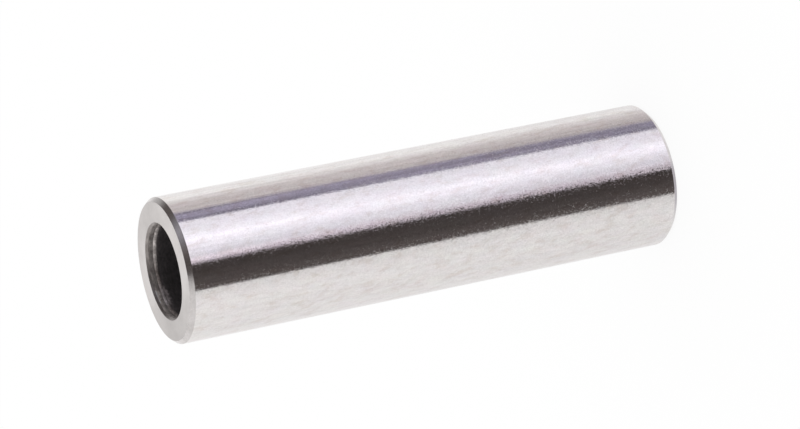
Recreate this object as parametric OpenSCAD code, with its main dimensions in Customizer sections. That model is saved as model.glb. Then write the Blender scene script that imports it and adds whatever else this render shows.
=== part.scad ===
// Floating piston pin: a ground steel tube that joins a piston to its
// connecting rod. It stands on one end, with its axis along Z.

/* [Pin] */
// Outside diameter that runs in the piston bosses and the rod's small end
outer_d = 22; // [17:0.5:60]
// Length over the two end faces
pin_length = 80; // [20:1:200]

/* [Outer edge] */
// How far the lead-in chamfer runs along the pin
chamfer_length = 0.7; // [0.2:0.05:3]
// How far the lead-in chamfer cuts in from the outside diameter
chamfer_depth = 0.6; // [0.2:0.05:2.5]

/* [Bore] */
// Diameter of the bore that lightens the pin
bore_d = 13.5; // [4:0.5:18]
// Width of the step from the bore out to the counterbore at each end
counterbore_step = 0.25; // [0.1:0.05:2]
// Depth of the counterbore below the end face
counterbore_depth = 1.1; // [0.6:0.1:8]
// Length of the sloped shoulder between the counterbore and the bore
shoulder_length = 0.45; // [0.2:0.05:4]
// Size of the 45 degree edge break round the mouth of the counterbore
mouth_break = 0.35; // [0.1:0.05:0.9]

/* [Corners] */
// Radius that tumbling and grinding leave on every corner of the ends
corner_r = 0.08; // [0.02:0.01:0.2]

/* [Hidden] */
outer_r = outer_d / 2;
bore_r = bore_d / 2;
counterbore_r = bore_r + counterbore_step;
mouth_r = counterbore_r + mouth_break;
shoulder_end = counterbore_depth + shoulder_length;
corner_steps = 4;          // straight steps round each corner
longest_run = 0.45;        // share of an edge that one corner may round off
steel = "#cbc8c7";
$fn = 180;

function unit(v) = v / norm(v);
function angle_of(v) = atan2(v.y, v.x);
function short_turn(a) = a > 180 ? a - 360 : a < -180 ? a + 360 : a;

// Arc of points that rounds the corner at b, on the way from a to c
function corner(a, b, c) =
    let (
        back = unit(a - b),
        ahead = unit(c - b),
        half = acos(back * ahead) / 2,
        room = longest_run * min(norm(a - b), norm(c - b)),
        run = min(corner_r / tan(half), room),
        r = run * tan(half),
        centre = b + unit(back + ahead) * r / sin(half),
        start = angle_of(b + back * run - centre),
        stop = angle_of(b + ahead * run - centre),
        sweep = short_turn(stop - start)
    )
    [for (i = [0 : corner_steps])
        let (a = start + sweep * i / corner_steps)
        centre + r * [cos(a), sin(a)]];

// One end of the wall's section as [radius, depth below the end face],
// from the bore, round the end face and on to the outside diameter
end_points = [
    [bore_r, pin_length / 2],
    [bore_r, shoulder_end],
    [counterbore_r, counterbore_depth],
    [counterbore_r, mouth_break],
    [mouth_r, 0],
    [outer_r - chamfer_depth, 0],
    [outer_r, chamfer_length],
    [outer_r, pin_length / 2],
];

end_outline = [
    for (i = [1 : len(end_points) - 2])
        each corner(end_points[i - 1], end_points[i], end_points[i + 1])
];

function reversed(points) = [for (i = [len(points) - 1 : -1 : 0]) points[i]];

// Both ends are alike, so the top one is the bottom one turned over
wall_section = concat(
    end_outline,
    [for (p = reversed(end_outline)) [p.x, pin_length - p.y]]
);

module piston_pin() {
    color(steel)
        rotate_extrude()
            polygon(wall_section);
}

piston_pin();
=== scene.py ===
import math

import bmesh
import bpy
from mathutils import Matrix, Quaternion, Vector


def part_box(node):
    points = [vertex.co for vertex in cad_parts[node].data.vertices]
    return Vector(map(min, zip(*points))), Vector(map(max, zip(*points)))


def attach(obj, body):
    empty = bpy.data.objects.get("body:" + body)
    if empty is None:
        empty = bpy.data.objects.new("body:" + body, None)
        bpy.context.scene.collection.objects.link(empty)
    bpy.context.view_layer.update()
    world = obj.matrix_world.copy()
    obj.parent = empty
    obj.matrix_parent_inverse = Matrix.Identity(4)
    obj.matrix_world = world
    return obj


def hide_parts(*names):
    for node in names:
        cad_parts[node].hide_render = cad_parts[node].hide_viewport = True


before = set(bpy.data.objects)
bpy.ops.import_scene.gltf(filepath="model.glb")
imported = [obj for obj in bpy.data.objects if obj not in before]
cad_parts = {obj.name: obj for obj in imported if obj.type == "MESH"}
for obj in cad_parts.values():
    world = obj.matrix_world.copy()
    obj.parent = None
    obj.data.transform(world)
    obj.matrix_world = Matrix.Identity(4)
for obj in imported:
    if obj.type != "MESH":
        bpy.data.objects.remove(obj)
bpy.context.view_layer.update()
print("frame loaded")

mm = 0.001
white = (1, 1, 1, 1)
noiseFall = 0.6               # how much each finer step of a noise counts against the last
noiseMiddle = 0.5             # a noise runs from 0 to 1 about this
# a Mix node has several sockets of one name, so its sockets go by number
mixShare, mixValues, mixColours = 0, (2, 3), (6, 7)
mixedValue, mixedColour = 0, 2
pinLow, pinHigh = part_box("piston_pin")
pinRadius = (pinHigh.x - pinLow.x) / 2
pinLength = pinHigh.z - pinLow.z


def linear(hexColour, gain=1.0):
    # sRGB hex to the linear numbers that the sockets take
    parts = [int(hexColour[i:i + 2], 16) / 255 for i in (1, 3, 5)]
    parts = [c / 12.92 if c <= 0.04045 else ((c + 0.055) / 1.055) ** 2.4 for c in parts]
    return [c * gain for c in parts] + [1.0]


def turnShare(degrees):
    # where an angle lies on a ramp that runs once round, from -180 to 180 degrees
    return (degrees + 180) / 360


def addNode(tree, kind, settings=None, inputs=(), stops=None):
    # inputs are values, or sockets to link from, by name or in the node's own order
    node = tree.nodes.new(kind)
    for name, value in (settings or {}).items():
        setattr(node, name, value)
    pairs = inputs.items() if isinstance(inputs, dict) else enumerate(inputs)
    for name, value in pairs:
        if isinstance(value, bpy.types.NodeSocket):
            tree.links.new(value, node.inputs[name])
        else:
            node.inputs[name].default_value = value
    if stops:
        marks = node.color_ramp.elements
        while len(marks) > 1:
            marks.remove(marks[-1])
        marks[0].position, marks[0].color = stops[0]
        for position, colour in stops[1:]:
            marks.new(position).color = colour
    return node


def newMaterial(name):
    material = bpy.data.materials.new(name)
    material.use_nodes = True
    material.node_tree.nodes.clear()
    return material, material.node_tree


def addSpeckle(tree, place, size, detail, drawn=(1, 1, 1), twist=0.0, out="Fac"):
    # noise with grains size mm across, drawn out along each axis, and wound round the pin by
    # twist degrees for each mm along it
    if twist:
        parts = addNode(tree, "ShaderNodeSeparateXYZ", inputs=[place])
        angle = addNode(tree, "ShaderNodeMath", {"operation": "MULTIPLY"}, [
            parts.outputs["Z"], math.radians(twist) / mm])
        place = addNode(tree, "ShaderNodeVectorRotate", {"rotation_type": "Z_AXIS"}, {
            "Vector": place, "Angle": angle.outputs["Value"]}).outputs["Vector"]
    if drawn != (1, 1, 1):
        place = addNode(tree, "ShaderNodeMapping", inputs={
            "Vector": place, "Scale": [1 / d for d in drawn]}).outputs["Vector"]
    noise = addNode(tree, "ShaderNodeTexNoise", inputs={
        "Vector": place, "Scale": 1 / (size * mm), "Detail": detail, "Roughness": noiseFall})
    return noise.outputs[out]


soft = {"interpolation_type": "SMOOTHSTEP"}

# A size is mm across one grain of a pattern, and a depth is mm too. A wheel's real grit marks are
# about 0.02 mm apart, too fine to show, so sand, grain and burrs are drawn eight to seventeen
# times as coarse. A mask is where on the noise a pattern starts and where it is full, and a shade
# is how much lighter or darker it makes the steel.
groundLook = {
    "colour": "#dcdad9",
    "smudge": "#d8d5d4",
    "stain": "#d3cecb",
    "smudgeAt": 0.6,
    "cloud": {"size": 1.1, "detail": 6.0, "drawn": (1, 1, 2), "twist": 0.6},
    "cloudMask": (0.40, 0.68),
    "film": {"size": 1.5, "detail": 4.0, "drawn": (1, 1, 2), "out": "Color"},
    "filmTint": 0.07,         # how strongly the oil film's colour varies
    "sand": {"size": 0.26, "detail": 2.0},
    "sandMask": (0.3, 0.7),
    "sandShade": 0.055,
    "smear": {"size": 0.7, "detail": 3.0, "drawn": (1, 1, 3), "twist": -0.4},
    "smearMask": (0.35, 0.70),
    "smearShade": (0.013, -0.04),
    "grain": {"size": 0.34, "detail": 2.0},
    "grainDepth": 0.0065,
    "pits": {"size": 0.24, "detail": 1.0},
    "pitMask": (0.60, 0.74),
    "pitDepth": 0.005,
    "clumps": {"size": 3.0, "detail": 3.0},
    "clumpMask": (0.38, 0.62),
    "clumpShare": (0.2, 0.8),  # how strong the pits are between their patches and in them
    "burrs": {"size": 0.16, "detail": 1.0},
    "burrMask": (0.46, 0.68),
    "burrLean": -0.055,       # how far a burr leans round the pin
    # how far out along X, in radii, the burrs start to wear down and stop, and how much is left
    "burrFrom": (0.14, 1.0),
    "burrTo": (0.28, 0.35),
    "roughMask": (0.3, 0.7),
    "roughness": (0.05, 0.08),
    "frost": {"size": 0.42, "detail": 2.0},
    "frostMask": (0.45, 0.76),
    "frostRough": 0.17,       # how much rougher the steel is where it is frosted
    # heights as shares of the pin's length, and how strong the marks are there
    "ageFrom": (0.25, 1.3),
    "ageTo": (0.75, 0.95),
    "bareFrom": (0.97, 0.35),
    "bareTo": (0.78, 1.0),
}


def groundSteel():
    # Case-hardened steel, centreless ground and superfinished: close to a mirror, with a sandy
    # grain that frets the edge of every reflection, tiny pits that lie in patches, flecks of
    # frost that catch the light, and a film of oil in pale clouds.
    look = groundLook
    material, tree = newMaterial("groundSteel")
    place = addNode(tree, "ShaderNodeTexCoord").outputs["Object"]
    parts = addNode(tree, "ShaderNodeSeparateXYZ", inputs=[place])
    cloud = addSpeckle(tree, place, **look["cloud"])
    film = addSpeckle(tree, place, **look["film"])
    sand = addSpeckle(tree, place, **look["sand"])
    smear = addSpeckle(tree, place, **look["smear"])
    grain = addSpeckle(tree, place, **look["grain"])
    pits = addSpeckle(tree, place, **look["pits"])
    clumps = addSpeckle(tree, place, **look["clumps"])
    burrs = addSpeckle(tree, place, **look["burrs"])
    frost = addSpeckle(tree, place, **look["frost"])

    # the end that stands clear is handled more, and polished smoother
    levels = []
    for start, stop in (("ageFrom", "ageTo"), ("bareFrom", "bareTo")):
        levels.append(addNode(tree, "ShaderNodeMapRange", soft, [
            parts.outputs["Z"], pinLength * look[start][0], pinLength * look[stop][0],
            look[start][1], look[stop][1]]).outputs["Result"])
    aged, bare = levels

    smudge = addNode(tree, "ShaderNodeMapRange", soft, [cloud, *look["cloudMask"]])
    tint = addNode(tree, "ShaderNodeValToRGB", inputs=[smudge.outputs["Result"]], stops=[
        (0.0, linear(look["colour"])), (look["smudgeAt"], linear(look["smudge"])),
        (1.0, linear(look["stain"]))])
    tinge = look["filmTint"]
    sheen = addNode(tree, "ShaderNodeVectorMath", {"operation": "MULTIPLY_ADD"}, [
        film, [tinge] * 3, [1 - tinge / 2] * 3])
    oiled = addNode(tree, "ShaderNodeVectorMath", {"operation": "MULTIPLY"}, [
        tint.outputs["Color"], sheen.outputs["Vector"]])
    sanded = addNode(tree, "ShaderNodeMapRange", inputs=[
        sand, *look["sandMask"], -look["sandShade"], look["sandShade"]])
    smeared = addNode(tree, "ShaderNodeMapRange", inputs=[
        smear, *look["smearMask"], *look["smearShade"]])
    marks = addNode(tree, "ShaderNodeMath", {"operation": "MULTIPLY_ADD"}, [
        smeared.outputs["Result"], bare, sanded.outputs["Result"]])
    shade = addNode(tree, "ShaderNodeMath", {"operation": "MULTIPLY_ADD"}, [
        marks.outputs["Value"], aged, 1.0])
    colour = addNode(tree, "ShaderNodeVectorMath", {"operation": "SCALE"}, {
        "Vector": oiled.outputs["Vector"], "Scale": shade.outputs["Value"]})

    pitted = addNode(tree, "ShaderNodeMapRange", soft, [pits, *look["pitMask"]])
    patchy = addNode(tree, "ShaderNodeMapRange", soft, [
        clumps, *look["clumpMask"], *look["clumpShare"]])
    strength = addNode(tree, "ShaderNodeMath", {"operation": "MULTIPLY"}, [
        patchy.outputs["Result"], aged])
    grainBump = addNode(tree, "ShaderNodeBump", inputs={
        "Strength": bare, "Distance": look["grainDepth"] * mm, "Height": grain})
    pitBump = addNode(tree, "ShaderNodeBump", {"invert": True}, {
        "Strength": strength.outputs["Value"], "Distance": look["pitDepth"] * mm,
        "Height": pitted.outputs["Result"], "Normal": grainBump.outputs["Normal"]})
    # the wheel cuts one way round, so its fine burrs all lean to that side, and running has worn
    # them down on the pin's two flanks
    lean = addNode(tree, "ShaderNodeMapRange", soft, [
        burrs, *look["burrMask"], 0.0, look["burrLean"]])
    flank = addNode(tree, "ShaderNodeMath", {"operation": "ABSOLUTE"}, [parts.outputs["X"]])
    worn = addNode(tree, "ShaderNodeMapRange", soft, [
        flank.outputs["Value"], pinRadius * look["burrFrom"][0], pinRadius * look["burrTo"][0],
        look["burrFrom"][1], look["burrTo"][1]])
    left = addNode(tree, "ShaderNodeMath", {"operation": "MULTIPLY"}, [
        worn.outputs["Result"], bare])
    much = addNode(tree, "ShaderNodeMath", {"operation": "MULTIPLY"}, [
        lean.outputs["Result"], left.outputs["Value"]])
    way = addNode(tree, "ShaderNodeTangent", {"direction_type": "RADIAL", "axis": "Z"})
    push = addNode(tree, "ShaderNodeVectorMath", {"operation": "SCALE"}, {
        "Vector": way.outputs["Tangent"], "Scale": much.outputs["Value"]})
    pushed = addNode(tree, "ShaderNodeVectorMath", {"operation": "ADD"}, [
        pitBump.outputs["Normal"], push.outputs["Vector"]])
    normal = addNode(tree, "ShaderNodeVectorMath", {"operation": "NORMALIZE"}, [
        pushed.outputs["Vector"]])

    polish = addNode(tree, "ShaderNodeMapRange", inputs=[
        cloud, *look["roughMask"], *look["roughness"]])
    frosted = addNode(tree, "ShaderNodeMapRange", soft, [
        frost, *look["frostMask"], 0.0, look["frostRough"]])
    rough = addNode(tree, "ShaderNodeMath", {"operation": "MULTIPLY_ADD"}, [
        frosted.outputs["Result"], aged, polish.outputs["Result"]])
    skin = addNode(tree, "ShaderNodeBsdfPrincipled", inputs={
        "Metallic": 1.0, "Base Color": colour.outputs["Vector"],
        "Roughness": rough.outputs["Value"], "Normal": normal.outputs["Vector"]})
    addNode(tree, "ShaderNodeOutputMaterial", inputs={"Surface": skin.outputs["BSDF"]})
    return material


def addPaintedLightAndWear(tree, place, paintedLightAndWear):
    # painted highlight and shade, partly wear: how much lighter or darker the metal is by depth from
    # the nearer end, and round the axis, with a frayed edge
    fray = addSpeckle(tree, place, **paintedLightAndWear["fray"])
    nudge = addNode(tree, "ShaderNodeVectorMath", {"operation": "SUBTRACT"}, [
        fray, [noiseMiddle] * 3])
    moved = addNode(tree, "ShaderNodeVectorMath", {"operation": "MULTIPLY_ADD"}, [
        nudge.outputs["Vector"], [paintedLightAndWear["frayRun"] * mm] * 3, place])
    parts = addNode(tree, "ShaderNodeSeparateXYZ", inputs=[moved.outputs["Vector"]])
    middle = addNode(tree, "ShaderNodeMath", {"operation": "SUBTRACT"}, [
        parts.outputs["Z"], pinLength / 2])
    away = addNode(tree, "ShaderNodeMath", {"operation": "ABSOLUTE"}, [middle.outputs["Value"]])
    start, stop = paintedLightAndWear["fade"]
    deep = addNode(tree, "ShaderNodeMapRange", soft, [
        away.outputs["Value"], pinLength / 2 - start * mm, pinLength / 2 - stop * mm])
    angle = addNode(tree, "ShaderNodeMath", {"operation": "ARCTAN2"}, [
        parts.outputs["Y"], parts.outputs["X"]])
    turn = addNode(tree, "ShaderNodeMapRange", inputs=[angle.outputs["Value"], -math.pi, math.pi])
    gain = addNode(tree, "ShaderNodeValToRGB", inputs=[turn.outputs["Result"]], stops=[
        (turnShare(degrees), (level, level, level, 1.0)) for degrees, level in paintedLightAndWear["around"]])
    # the painted highlight and shade, partly wear, as one level
    worn = addNode(tree, "ShaderNodeMix", {"data_type": "FLOAT"}, {
        mixShare: deep.outputs["Result"], mixValues[0]: gain.outputs["Color"],
        mixValues[1]: paintedLightAndWear["deepPaintedShade"]})
    return worn.outputs[mixedValue]


cutMarks = {
    "blotchMask": (0.35, 0.68),
    "grainMask": (0.3, 0.7),
    "roughMask": (0.3, 0.7),
}


def cutSteel(name, look):
    # Steel as a turning or boring tool leaves it: the colour is a little blotched, and rings of
    # fine tool marks draw the highlight out across them
    material, tree = newMaterial(name)
    place = addNode(tree, "ShaderNodeTexCoord").outputs["Object"]
    cloud = addSpeckle(tree, place, **look["blotch"])
    grain = addSpeckle(tree, place, **look["grain"])
    mask = addNode(tree, "ShaderNodeMapRange", soft, [cloud, *cutMarks["blotchMask"]])
    tint = addNode(tree, "ShaderNodeValToRGB", inputs=[mask.outputs["Result"]], stops=[
        (0.0, linear(look["colour"])), (1.0, linear(look["dark"]))])
    fine = addNode(tree, "ShaderNodeMapRange", inputs=[grain, *cutMarks["grainMask"], *look["shade"]])
    shade = fine.outputs["Result"]
    # painted highlight and shade, partly wear, lighten and darken the colour
    if "paintedLightAndWear" in look:
        shade = addNode(tree, "ShaderNodeMath", {"operation": "MULTIPLY"}, [
            shade, addPaintedLightAndWear(tree, place, look["paintedLightAndWear"])]).outputs["Value"]
    colour = addNode(tree, "ShaderNodeVectorMath", {"operation": "SCALE"}, {
        "Vector": tint.outputs["Color"], "Scale": shade})
    bump = addNode(tree, "ShaderNodeBump", inputs={
        "Strength": 1.0, "Distance": look["depth"] * mm, "Height": grain})
    rough = addNode(tree, "ShaderNodeMapRange", inputs=[
        cloud, *cutMarks["roughMask"], *look["roughness"]])
    rings = addNode(tree, "ShaderNodeTangent", {"direction_type": "RADIAL", "axis": "Z"})
    skin = addNode(tree, "ShaderNodeBsdfPrincipled", inputs={
        "Metallic": look["metallic"], "Base Color": colour.outputs["Vector"],
        "Roughness": rough.outputs["Result"], "Normal": bump.outputs["Normal"],
        "Anisotropic": look["rings"], "Tangent": rings.outputs["Tangent"]})
    addNode(tree, "ShaderNodeOutputMaterial", inputs={"Surface": skin.outputs["BSDF"]})
    return material


# Sizes, depths and runs are in mm. A tool's real marks are about 0.05 mm apart, too fine to show,
# so they are drawn four to eight times as coarse. A shade is the metal's darkest and lightest
# level. Painted highlight and shade, with some wear, are given as levels round the axis, in degrees
# from +X towards +Y, which fade to one deep level between two depths from the nearer end.

# the end faces, ground flat on the side of a wheel: a pale satin that spreads the room out, with
# painted sheen and shade making it lighter and darker round the axis
faceLook = {
    "colour": "#d9d6d4",
    "dark": "#d2cfcd",
    "blotch": {"size": 4.0, "detail": 3.0},
    "grain": {"size": 0.4, "detail": 2.0},
    "shade": (0.98, 1.02),
    "depth": 0.001,
    "roughness": (0.42, 0.46),
    "metallic": 1.0,
    "rings": 0.5,
    "paintedLightAndWear": {
        "fade": (1.0, 2.0),
        "deepPaintedShade": 1.0,
        "fray": {"size": 2.0, "detail": 3.0, "out": "Color"},
        "frayRun": 1.0,
        # painted sheen and shade round the axis
        "around": [
            (-180, 0.85), (-165, 0.87), (-145, 0.95), (-110, 1.0), (-50, 0.98), (5, 0.94),
            (35, 0.97), (60, 1.02), (112, 1.0), (138, 0.85), (180, 0.85)],
    },
}

# the chamfers, turned and left bright: they mirror the room in soft bands
chamferLook = {
    "colour": "#d6d3d2",
    "dark": "#cbc8c6",
    "blotch": {"size": 2.0, "detail": 3.0},
    "grain": {"size": 0.3, "detail": 2.0},
    "shade": (0.94, 1.04),
    "depth": 0.004,
    "roughness": (0.14, 0.22),
    "metallic": 1.0,
    "rings": 0.0,
}

# the mouth's edge, broken with a deburring tool: a thin line whose darker colour is painted shade
breakLook = {
    "colour": "#9d9895",
    "dark": "#87827f",
    "blotch": {"size": 1.5, "detail": 3.0},
    "grain": {"size": 0.3, "detail": 2.0, "drawn": (2, 2, 1)},
    "shade": (0.85, 1.10),
    "depth": 0.006,
    "roughness": (0.28, 0.38),
    "metallic": 1.0,
    "rings": 0.0,
}

# the counterbore's wall, bored: dull, with rings of tool marks in its bump and their caught light
# painted into its colour as streaks, a painted highlight streak on one side, and painted shade towards
# the shoulder
wallLook = {
    "colour": "#d6d0cd",
    "dark": "#b4adaa",
    "blotch": {"size": 1.2, "detail": 3.0},
    "grain": {"size": 0.22, "detail": 2.0, "drawn": (6, 6, 1)},
    "shade": (0.70, 1.28),
    "depth": 0.012,
    "roughness": (0.65, 0.80),
    "metallic": 0.9,
    "rings": 0.0,
    "paintedLightAndWear": {
        # painted shade: darker between these depths, towards the shoulder
        "fade": (0.6, 1.05),
        "deepPaintedShade": 0.75,
        "fray": {"size": 0.4, "detail": 3.0, "out": "Color"},
        "frayRun": 0.8,
        # painted shade at 85 to 100 degrees, painted highlight streak at 114 to 128
        "around": [
            (-180, 1.0), (85, 0.95), (100, 0.90), (108, 1.0), (114, 1.75), (128, 1.75), (136, 1.1)],
    },
}

# the sloped shoulder, cut with a form tool: the same rings, with a painted highlight on one side and
# painted shade deeper in, towards the bore
shoulderLook = {
    "colour": "#cbc5c3",
    "dark": "#a09a97",
    "blotch": {"size": 1.0, "detail": 3.0},
    "grain": {"size": 0.22, "detail": 2.0, "drawn": (3, 3, 1)},
    "shade": (0.65, 1.35),
    "depth": 0.012,
    "roughness": (0.30, 0.45),
    "metallic": 1.0,
    "rings": 0.0,
    "paintedLightAndWear": {
        # painted shade: darker deeper in, towards the bore
        "fade": (1.2, 1.5),
        "deepPaintedShade": 0.4,
        "fray": {"size": 0.4, "detail": 3.0, "out": "Color"},
        "frayRun": 0.4,
        # painted highlight at 82 to 104 degrees
        "around": [(-180, 1.0), (75, 0.9), (82, 1.6), (104, 1.6), (112, 1.1)],
    },
}

# the bore, left black by heat treatment: a dry, dull scale that is no longer metal to the eye, lighter
# on one side of the mouth, partly where the scale is rubbed down to bare steel and partly a painted
# highlight
scaleLook = {
    "colour": "#393536",
    "dark": "#2f2b2c",
    "blotch": {"size": 2.5, "detail": 3.0},
    "grain": {"size": 0.3, "detail": 2.0, "drawn": (2, 2, 1)},
    "shade": (0.55, 1.40),
    "depth": 0.004,
    "roughness": (0.55, 0.70),
    "metallic": 0.0,
    "rings": 0.0,
    "paintedLightAndWear": {
        "fade": (1.6, 2.3),
        "deepPaintedShade": 1.0,
        "fray": {"size": 0.5, "detail": 3.0, "out": "Color"},
        "frayRun": 1.6,
        # lighter at 60 and from 106 to 142 degrees: partly bare steel, partly painted highlight
        "around": [
            (-180, 1.0), (60, 2.0), (75, 1.0), (106, 1.5), (116, 6.0), (132, 6.0), (142, 1.5)],
    },
}

# all in mm; a depth is measured in from the nearer end face
pin = {
    "chamferLength": 0.7,
    "chamferDepth": 0.6,
    "boreRadius": 6.75,
    "counterboreRadius": 7.0,
    "counterboreDepth": 1.1,
    "shoulderLength": 0.45,
    "mouthBreak": 0.35,
    "cornerRun": 0.033,       # the part of each face that its rounded corner takes
    "cornerSteps": 3,
    "holdRun": 0.1,           # a ring this far from each corner keeps the flats flat in the shading
    "holdLeast": 0.3,         # a flat shorter than this has none
    "weldRun": 0.0001,        # points closer than this are one
    "segments": 240,          # round the pin
    "sharpTurn": 8,           # degrees past which an edge is a corner
}


def pinOutline():
    # closed section of the wall as (radius, height), all in mm
    outer, length = pinRadius / mm, pinLength / mm
    mouthRadius = pin["counterboreRadius"] + pin["mouthBreak"]
    shoulderEnd = pin["counterboreDepth"] + pin["shoulderLength"]
    end = [
        (pin["boreRadius"], shoulderEnd),
        (pin["counterboreRadius"], pin["counterboreDepth"]),
        (pin["counterboreRadius"], pin["mouthBreak"]),
        (mouthRadius, 0),
        (outer - pin["chamferDepth"], 0),
        (outer, pin["chamferLength"]),
    ]
    corners = end + [(r, length - depth) for r, depth in reversed(end)]
    outline = []
    for a, b in zip(corners, corners[1:] + corners[:1]):
        start, stop = Vector(a), Vector(b)
        outline.append(start)
        run = (stop - start).normalized() * pin["holdRun"]
        if (stop - start).length > pin["holdLeast"]:
            outline += [start + run, stop - run]
    return outline


def finishAt(face):
    # which finish a face takes, from where it lies on the section
    centre = face.calc_center_median()
    radius = math.hypot(centre.x, centre.y) / mm
    depth = min(centre.z, pinLength - centre.z) / mm
    half = pin["cornerRun"] / 2
    if radius < pin["counterboreRadius"] + pin["mouthBreak"] - half:
        if depth < pin["mouthBreak"]:
            return "break"
        if depth < pin["counterboreDepth"]:
            return "wall"
        return "shoulder" if depth < pin["counterboreDepth"] + pin["shoulderLength"] + half else "bore"
    if depth < half:
        return "face"
    return "chamfer" if depth < pin["chamferLength"] - half else "ground"


def buildPin():
    bm = bmesh.new()
    verts = [bm.verts.new((p.x * mm, 0, p.y * mm)) for p in pinOutline()]
    for a, b in zip(verts, verts[1:] + verts[:1]):
        bm.edges.new((a, b))
    bmesh.ops.spin(bm, geom=bm.verts[:] + bm.edges[:], cent=(0, 0, 0), axis=(0, 0, 1),
                   angle=2 * math.pi, steps=pin["segments"], use_merge=True)
    bmesh.ops.remove_doubles(bm, verts=bm.verts, dist=pin["weldRun"] * mm)
    bmesh.ops.recalc_face_normals(bm, faces=bm.faces)
    sharp = math.radians(pin["sharpTurn"])
    corners = [e for e in bm.edges if abs(e.calc_face_angle(0)) > sharp]
    bmesh.ops.bevel(bm, geom=corners, offset=pin["cornerRun"] * mm, offset_type="OFFSET",
                    affect="EDGES", segments=pin["cornerSteps"], profile=0.5, material=-1)
    finishes = {
        "ground": groundSteel(),
        "face": cutSteel("facedSteel", faceLook),
        "chamfer": cutSteel("turnedSteel", chamferLook),
        "break": cutSteel("deburredSteel", breakLook),
        "wall": cutSteel("boredSteel", wallLook),
        "shoulder": cutSteel("formCutSteel", shoulderLook),
        "bore": cutSteel("blackScale", scaleLook),
    }
    slots = list(finishes)
    for face in bm.faces:
        face.smooth = True
        face.material_index = slots.index(finishAt(face))
    mesh = bpy.data.meshes.new("turnedPin")
    bm.to_mesh(mesh)
    bm.free()
    for name in slots:
        mesh.materials.append(finishes[name])
    piece = bpy.data.objects.new("turnedPin", mesh)
    bpy.context.scene.collection.objects.link(piece)
    return piece


turnedPin = buildPin()
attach(turnedPin, "root")
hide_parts("piston_pin")
print("pin turned:", len(turnedPin.data.polygons), "faces")


# Polished steel shows the room, so the room is given in bands: the azimuth in degrees from -Y
# towards +X, what stands there, how bright it is, and for the low bands how mottled, which the
# steel's grain breaks into specks. Only reflections show it: the light itself is plain white.
studio = {
    "surfaces": {
        "paper": "#fbf9f9",
        "room": "#504a49",    # the dark room in front
        "lamp": "#f8f5ff",
        "shade": "#c9bfc9",   # the lamp's cloth shade
        "stand": "#a29cb0",   # and its grey stand
        "wall": "#e1d9da",    # the far wall, faintly pink
    },
    "lowBands": [             # what the pin's side sees
        (-180, "paper", 0.95, 0.05),
        (-150, "paper", 1.01, 0.05),
        (-75, "paper", 1.09, 0.05),
        (-60, "paper", 1.06, 0.05),
        (-44, "paper", 0.96, 0.05),
        (-40.5, "paper", 1.0, 0.08),
        (-39.4, "room", 1.22, 0.30),
        (-34, "room", 1.40, 0.30),
        (-22, "room", 1.09, 0.28),
        (-12, "room", 0.87, 0.25),
        (0.2, "room", 0.78, 0.35),
        (1.8, "shade", 1.15, 0.45),
        (7, "shade", 1.54, 0.42),
        (14, "lamp", 1.02, 0.25),
        (20, "lamp", 1.12, 0.16),
        (40, "lamp", 1.50, 0.06),
        (50, "lamp", 1.28, 0.05),
        (64, "lamp", 1.16, 0.05),
        (72.4, "lamp", 1.17, 0.05),
        (73.3, "stand", 0.84, 0.45),
        (84, "stand", 1.04, 0.50),
        (90, "stand", 1.0, 0.50),
        (95, "wall", 0.89, 0.30),
        (112, "wall", 1.0, 0.16),
        (134, "paper", 1.12, 0.14),
        (180, "paper", 0.95, 0.08)],
    "highBands": [            # what the end faces and chamfers see above
        (-180, "paper", 1.06),
        (-60, "paper", 0.90),
        (-44, "paper", 0.80),
        (-16, "room", 1.18),
        (14, "room", 1.02),
        (34, "room", 1.90),
        (58, "lamp", 0.29),
        (76, "lamp", 0.42),
        (90, "lamp", 0.28),
        (103, "room", 1.65),
        (124, "room", 1.45),
        (140, "paper", 0.575),
        (156, "paper", 0.79),
        (180, "paper", 1.06)],
    "blend": (-0.15, 0.05),   # from the low bands to the high ones, by how far up a ray points
    "patches": {"size": 40.0, "detail": 3.0},  # the mottle, in mm at a metre from the pin
    "patchMask": (0.35, 0.65),
    # the rest go by a ray's own direction: the low bands darken a little downwards
    "fall": (-0.441, -0.316),
    "fallLevel": (0.97, 1.03),
    # the paper right under the pin, in its shade and out of it, where the one turns to the other
    # along X, and how steeply down a ray has to point to see it
    "under": ("#d2cfd6", "#fffcff"),
    "underTurn": (0.0, 0.12),
    "underBlend": (-0.90, -0.70),
}


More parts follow.
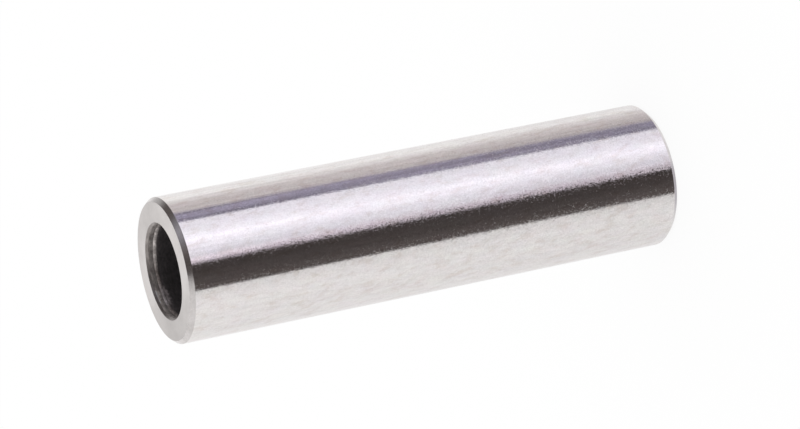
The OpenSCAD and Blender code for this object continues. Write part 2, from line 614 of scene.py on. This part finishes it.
def buildStudio():
    world = bpy.data.worlds.new("studio")
    bpy.context.scene.world = world
    world.use_nodes = True
    tree = world.node_tree
    tree.nodes.clear()
    way = addNode(tree, "ShaderNodeTexCoord").outputs["Generated"]
    axes = addNode(tree, "ShaderNodeSeparateXYZ", inputs=[way])
    back = addNode(tree, "ShaderNodeMath", {"operation": "MULTIPLY"}, [axes.outputs["Y"], -1])
    azimuth = addNode(tree, "ShaderNodeMath", {"operation": "ARCTAN2"}, [
        axes.outputs["X"], back.outputs["Value"]])
    turn = addNode(tree, "ShaderNodeMapRange", inputs=[azimuth.outputs["Value"], -math.pi, math.pi])
    bands = []
    for name in ("lowBands", "highBands"):
        bands.append(addNode(tree, "ShaderNodeValToRGB", inputs=[turn.outputs["Result"]], stops=[
            (turnShare(angle), linear(studio["surfaces"][what], level))
            for angle, what, level, *_ in studio[name]]))
    low, high = bands
    amount = addNode(tree, "ShaderNodeValToRGB", inputs=[turn.outputs["Result"]], stops=[
        (turnShare(angle), (share, share, share, 1.0))
        for angle, _, _, share in studio["lowBands"]])
    noise = addSpeckle(tree, way, **studio["patches"])
    patches = addNode(tree, "ShaderNodeMapRange", inputs=[noise, *studio["patchMask"], -1.0, 1.0])
    shade = addNode(tree, "ShaderNodeMath", {"operation": "MULTIPLY_ADD"}, [
        amount.outputs["Color"], patches.outputs["Result"], 1.0])
    fall = addNode(tree, "ShaderNodeMapRange", inputs=[
        axes.outputs["Z"], *studio["fall"], *studio["fallLevel"]])
    level = addNode(tree, "ShaderNodeMath", {"operation": "MULTIPLY"}, [
        shade.outputs["Value"], fall.outputs["Result"]])
    mottled = addNode(tree, "ShaderNodeVectorMath", {"operation": "SCALE"}, {
        "Vector": low.outputs["Color"], "Scale": level.outputs["Value"]})
    rise = addNode(tree, "ShaderNodeMapRange", soft, [axes.outputs["Z"], *studio["blend"]])
    seen = addNode(tree, "ShaderNodeMix", {"data_type": "RGBA"}, {
        mixShare: rise.outputs["Result"], mixColours[0]: mottled.outputs["Vector"],
        mixColours[1]: high.outputs["Color"]})
    side = addNode(tree, "ShaderNodeMapRange", soft, [axes.outputs["X"], *studio["underTurn"]])
    shaded, clear = studio["under"]
    below = addNode(tree, "ShaderNodeMix", {"data_type": "RGBA"}, {
        mixShare: side.outputs["Result"], mixColours[0]: linear(shaded),
        mixColours[1]: linear(clear)})
    drop = addNode(tree, "ShaderNodeMapRange", soft, [axes.outputs["Z"], *studio["underBlend"]])
    room = addNode(tree, "ShaderNodeMix", {"data_type": "RGBA"}, {
        mixShare: drop.outputs["Result"], mixColours[0]: below.outputs[mixedColour],
        mixColours[1]: seen.outputs[mixedColour]})
    around = addNode(tree, "ShaderNodeBackground", inputs=[room.outputs[mixedColour], 1.0])
    plain = addNode(tree, "ShaderNodeBackground", inputs=[white, 1.0])
    rays = addNode(tree, "ShaderNodeLightPath")
    mix = addNode(tree, "ShaderNodeMixShader", inputs=[
        rays.outputs["Is Glossy Ray"], plain.outputs["Background"], around.outputs["Background"]])
    addNode(tree, "ShaderNodeOutputWorld", inputs={"Surface": mix.outputs["Shader"]})


floorLook = {
    "size": 6.0,              # m
    "drop": 0.01,             # mm below the pin
    "colour": "#f4f4f4",
    "shadowShare": 0.10,      # how much of its white the pin's shadow can take
}


def buildFloor():
    bm = bmesh.new()
    bmesh.ops.create_grid(bm, x_segments=1, y_segments=1, size=floorLook["size"] / 2)
    mesh = bpy.data.meshes.new("floor")
    bm.to_mesh(mesh)
    bm.free()
    floor = bpy.data.objects.new("floor", mesh)
    bpy.context.scene.collection.objects.link(floor)
    floor.location.z = pinLow.z - floorLook["drop"] * mm
    # matt white paper: it takes a faint soft shadow and mirrors nothing
    material, tree = newMaterial("palePaper")
    share = floorLook["shadowShare"]
    paper = addNode(tree, "ShaderNodeBsdfDiffuse", inputs={"Color": linear(floorLook["colour"])})
    faint = addNode(tree, "ShaderNodeBsdfDiffuse", inputs={"Color": (share, share, share, 1)})
    lift = addNode(tree, "ShaderNodeEmission", inputs={"Color": white, "Strength": 1 - share})
    shown = addNode(tree, "ShaderNodeAddShader", inputs=[faint.outputs[0], lift.outputs[0]])
    rays = addNode(tree, "ShaderNodeLightPath")
    mix = addNode(tree, "ShaderNodeMixShader", inputs=[
        rays.outputs["Is Camera Ray"], paper.outputs[0], shown.outputs[0]])
    addNode(tree, "ShaderNodeOutputMaterial", inputs={"Surface": mix.outputs[0]})
    mesh.materials.append(material)
    floor.visible_glossy = False


buildStudio()
buildFloor()
print("studio lit")


shot = {
    "lens": 163.55,           # mm
    "sensor": 36,             # mm across
    "distance": 547.4,        # mm from the camera to the point it looks at
    "aim": (1.37, 0, 41.46),  # mm
    "elevation": 22.26,       # degrees above the horizon
    "roll": -101.34,          # degrees the camera is turned about its own line of sight
}


def addCamera():
    lens = bpy.data.cameras.new("camera")
    lens.lens = shot["lens"]
    lens.sensor_width = shot["sensor"]
    camera = bpy.data.objects.new("camera", lens)
    bpy.context.scene.collection.objects.link(camera)
    rise = math.radians(shot["elevation"])
    back = Vector((0, -math.cos(rise), math.sin(rise)))
    camera.location = Vector(shot["aim"]) * mm + back * shot["distance"] * mm
    level = (-back).to_track_quat("-Z", "Y")
    camera.rotation_mode = "QUATERNION"
    camera.rotation_quaternion = level @ Quaternion((0, 0, 1), math.radians(shot["roll"]))
    bpy.context.scene.camera = camera


addCamera()
bpy.context.scene.view_settings.view_transform = "Standard"
print("camera set")
